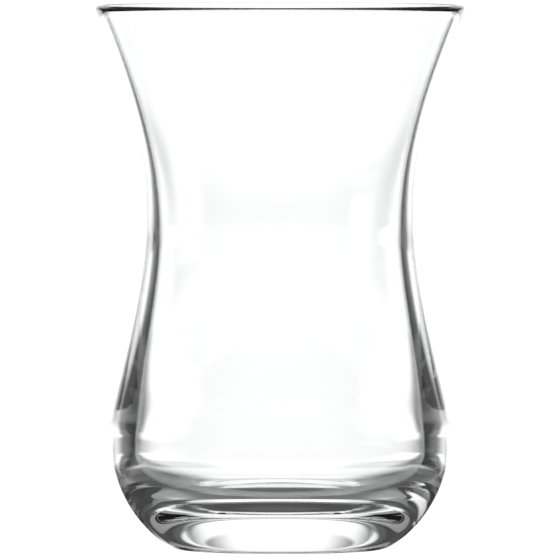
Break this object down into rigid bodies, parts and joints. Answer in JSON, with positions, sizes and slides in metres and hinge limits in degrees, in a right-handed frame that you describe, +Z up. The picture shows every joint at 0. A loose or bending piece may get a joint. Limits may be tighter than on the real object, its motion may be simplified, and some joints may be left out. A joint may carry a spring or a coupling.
{
  "type": "turkish tea glass",
  "caption": "Tulip-shaped tea glass in one piece of clear glass: thick base on a narrow foot ring, round belly, narrow waist and a flared mouth with a rounded lip. Empty.",
  "frame": {"origin": "middle of the foot ring's contact plane, on the axis of the glass", "axes": "+Z up along the axis of symmetry, from the foot to the mouth; +X and +Y are alike"},
  "size_m": [0.057, 0.057, 0.084],
  "materials": {
    "clear_glass": "clear, fire-polished"
  },
  "bodies": {
    "root": {"glass": "clear_glass"}
  },
  "joints": []
}
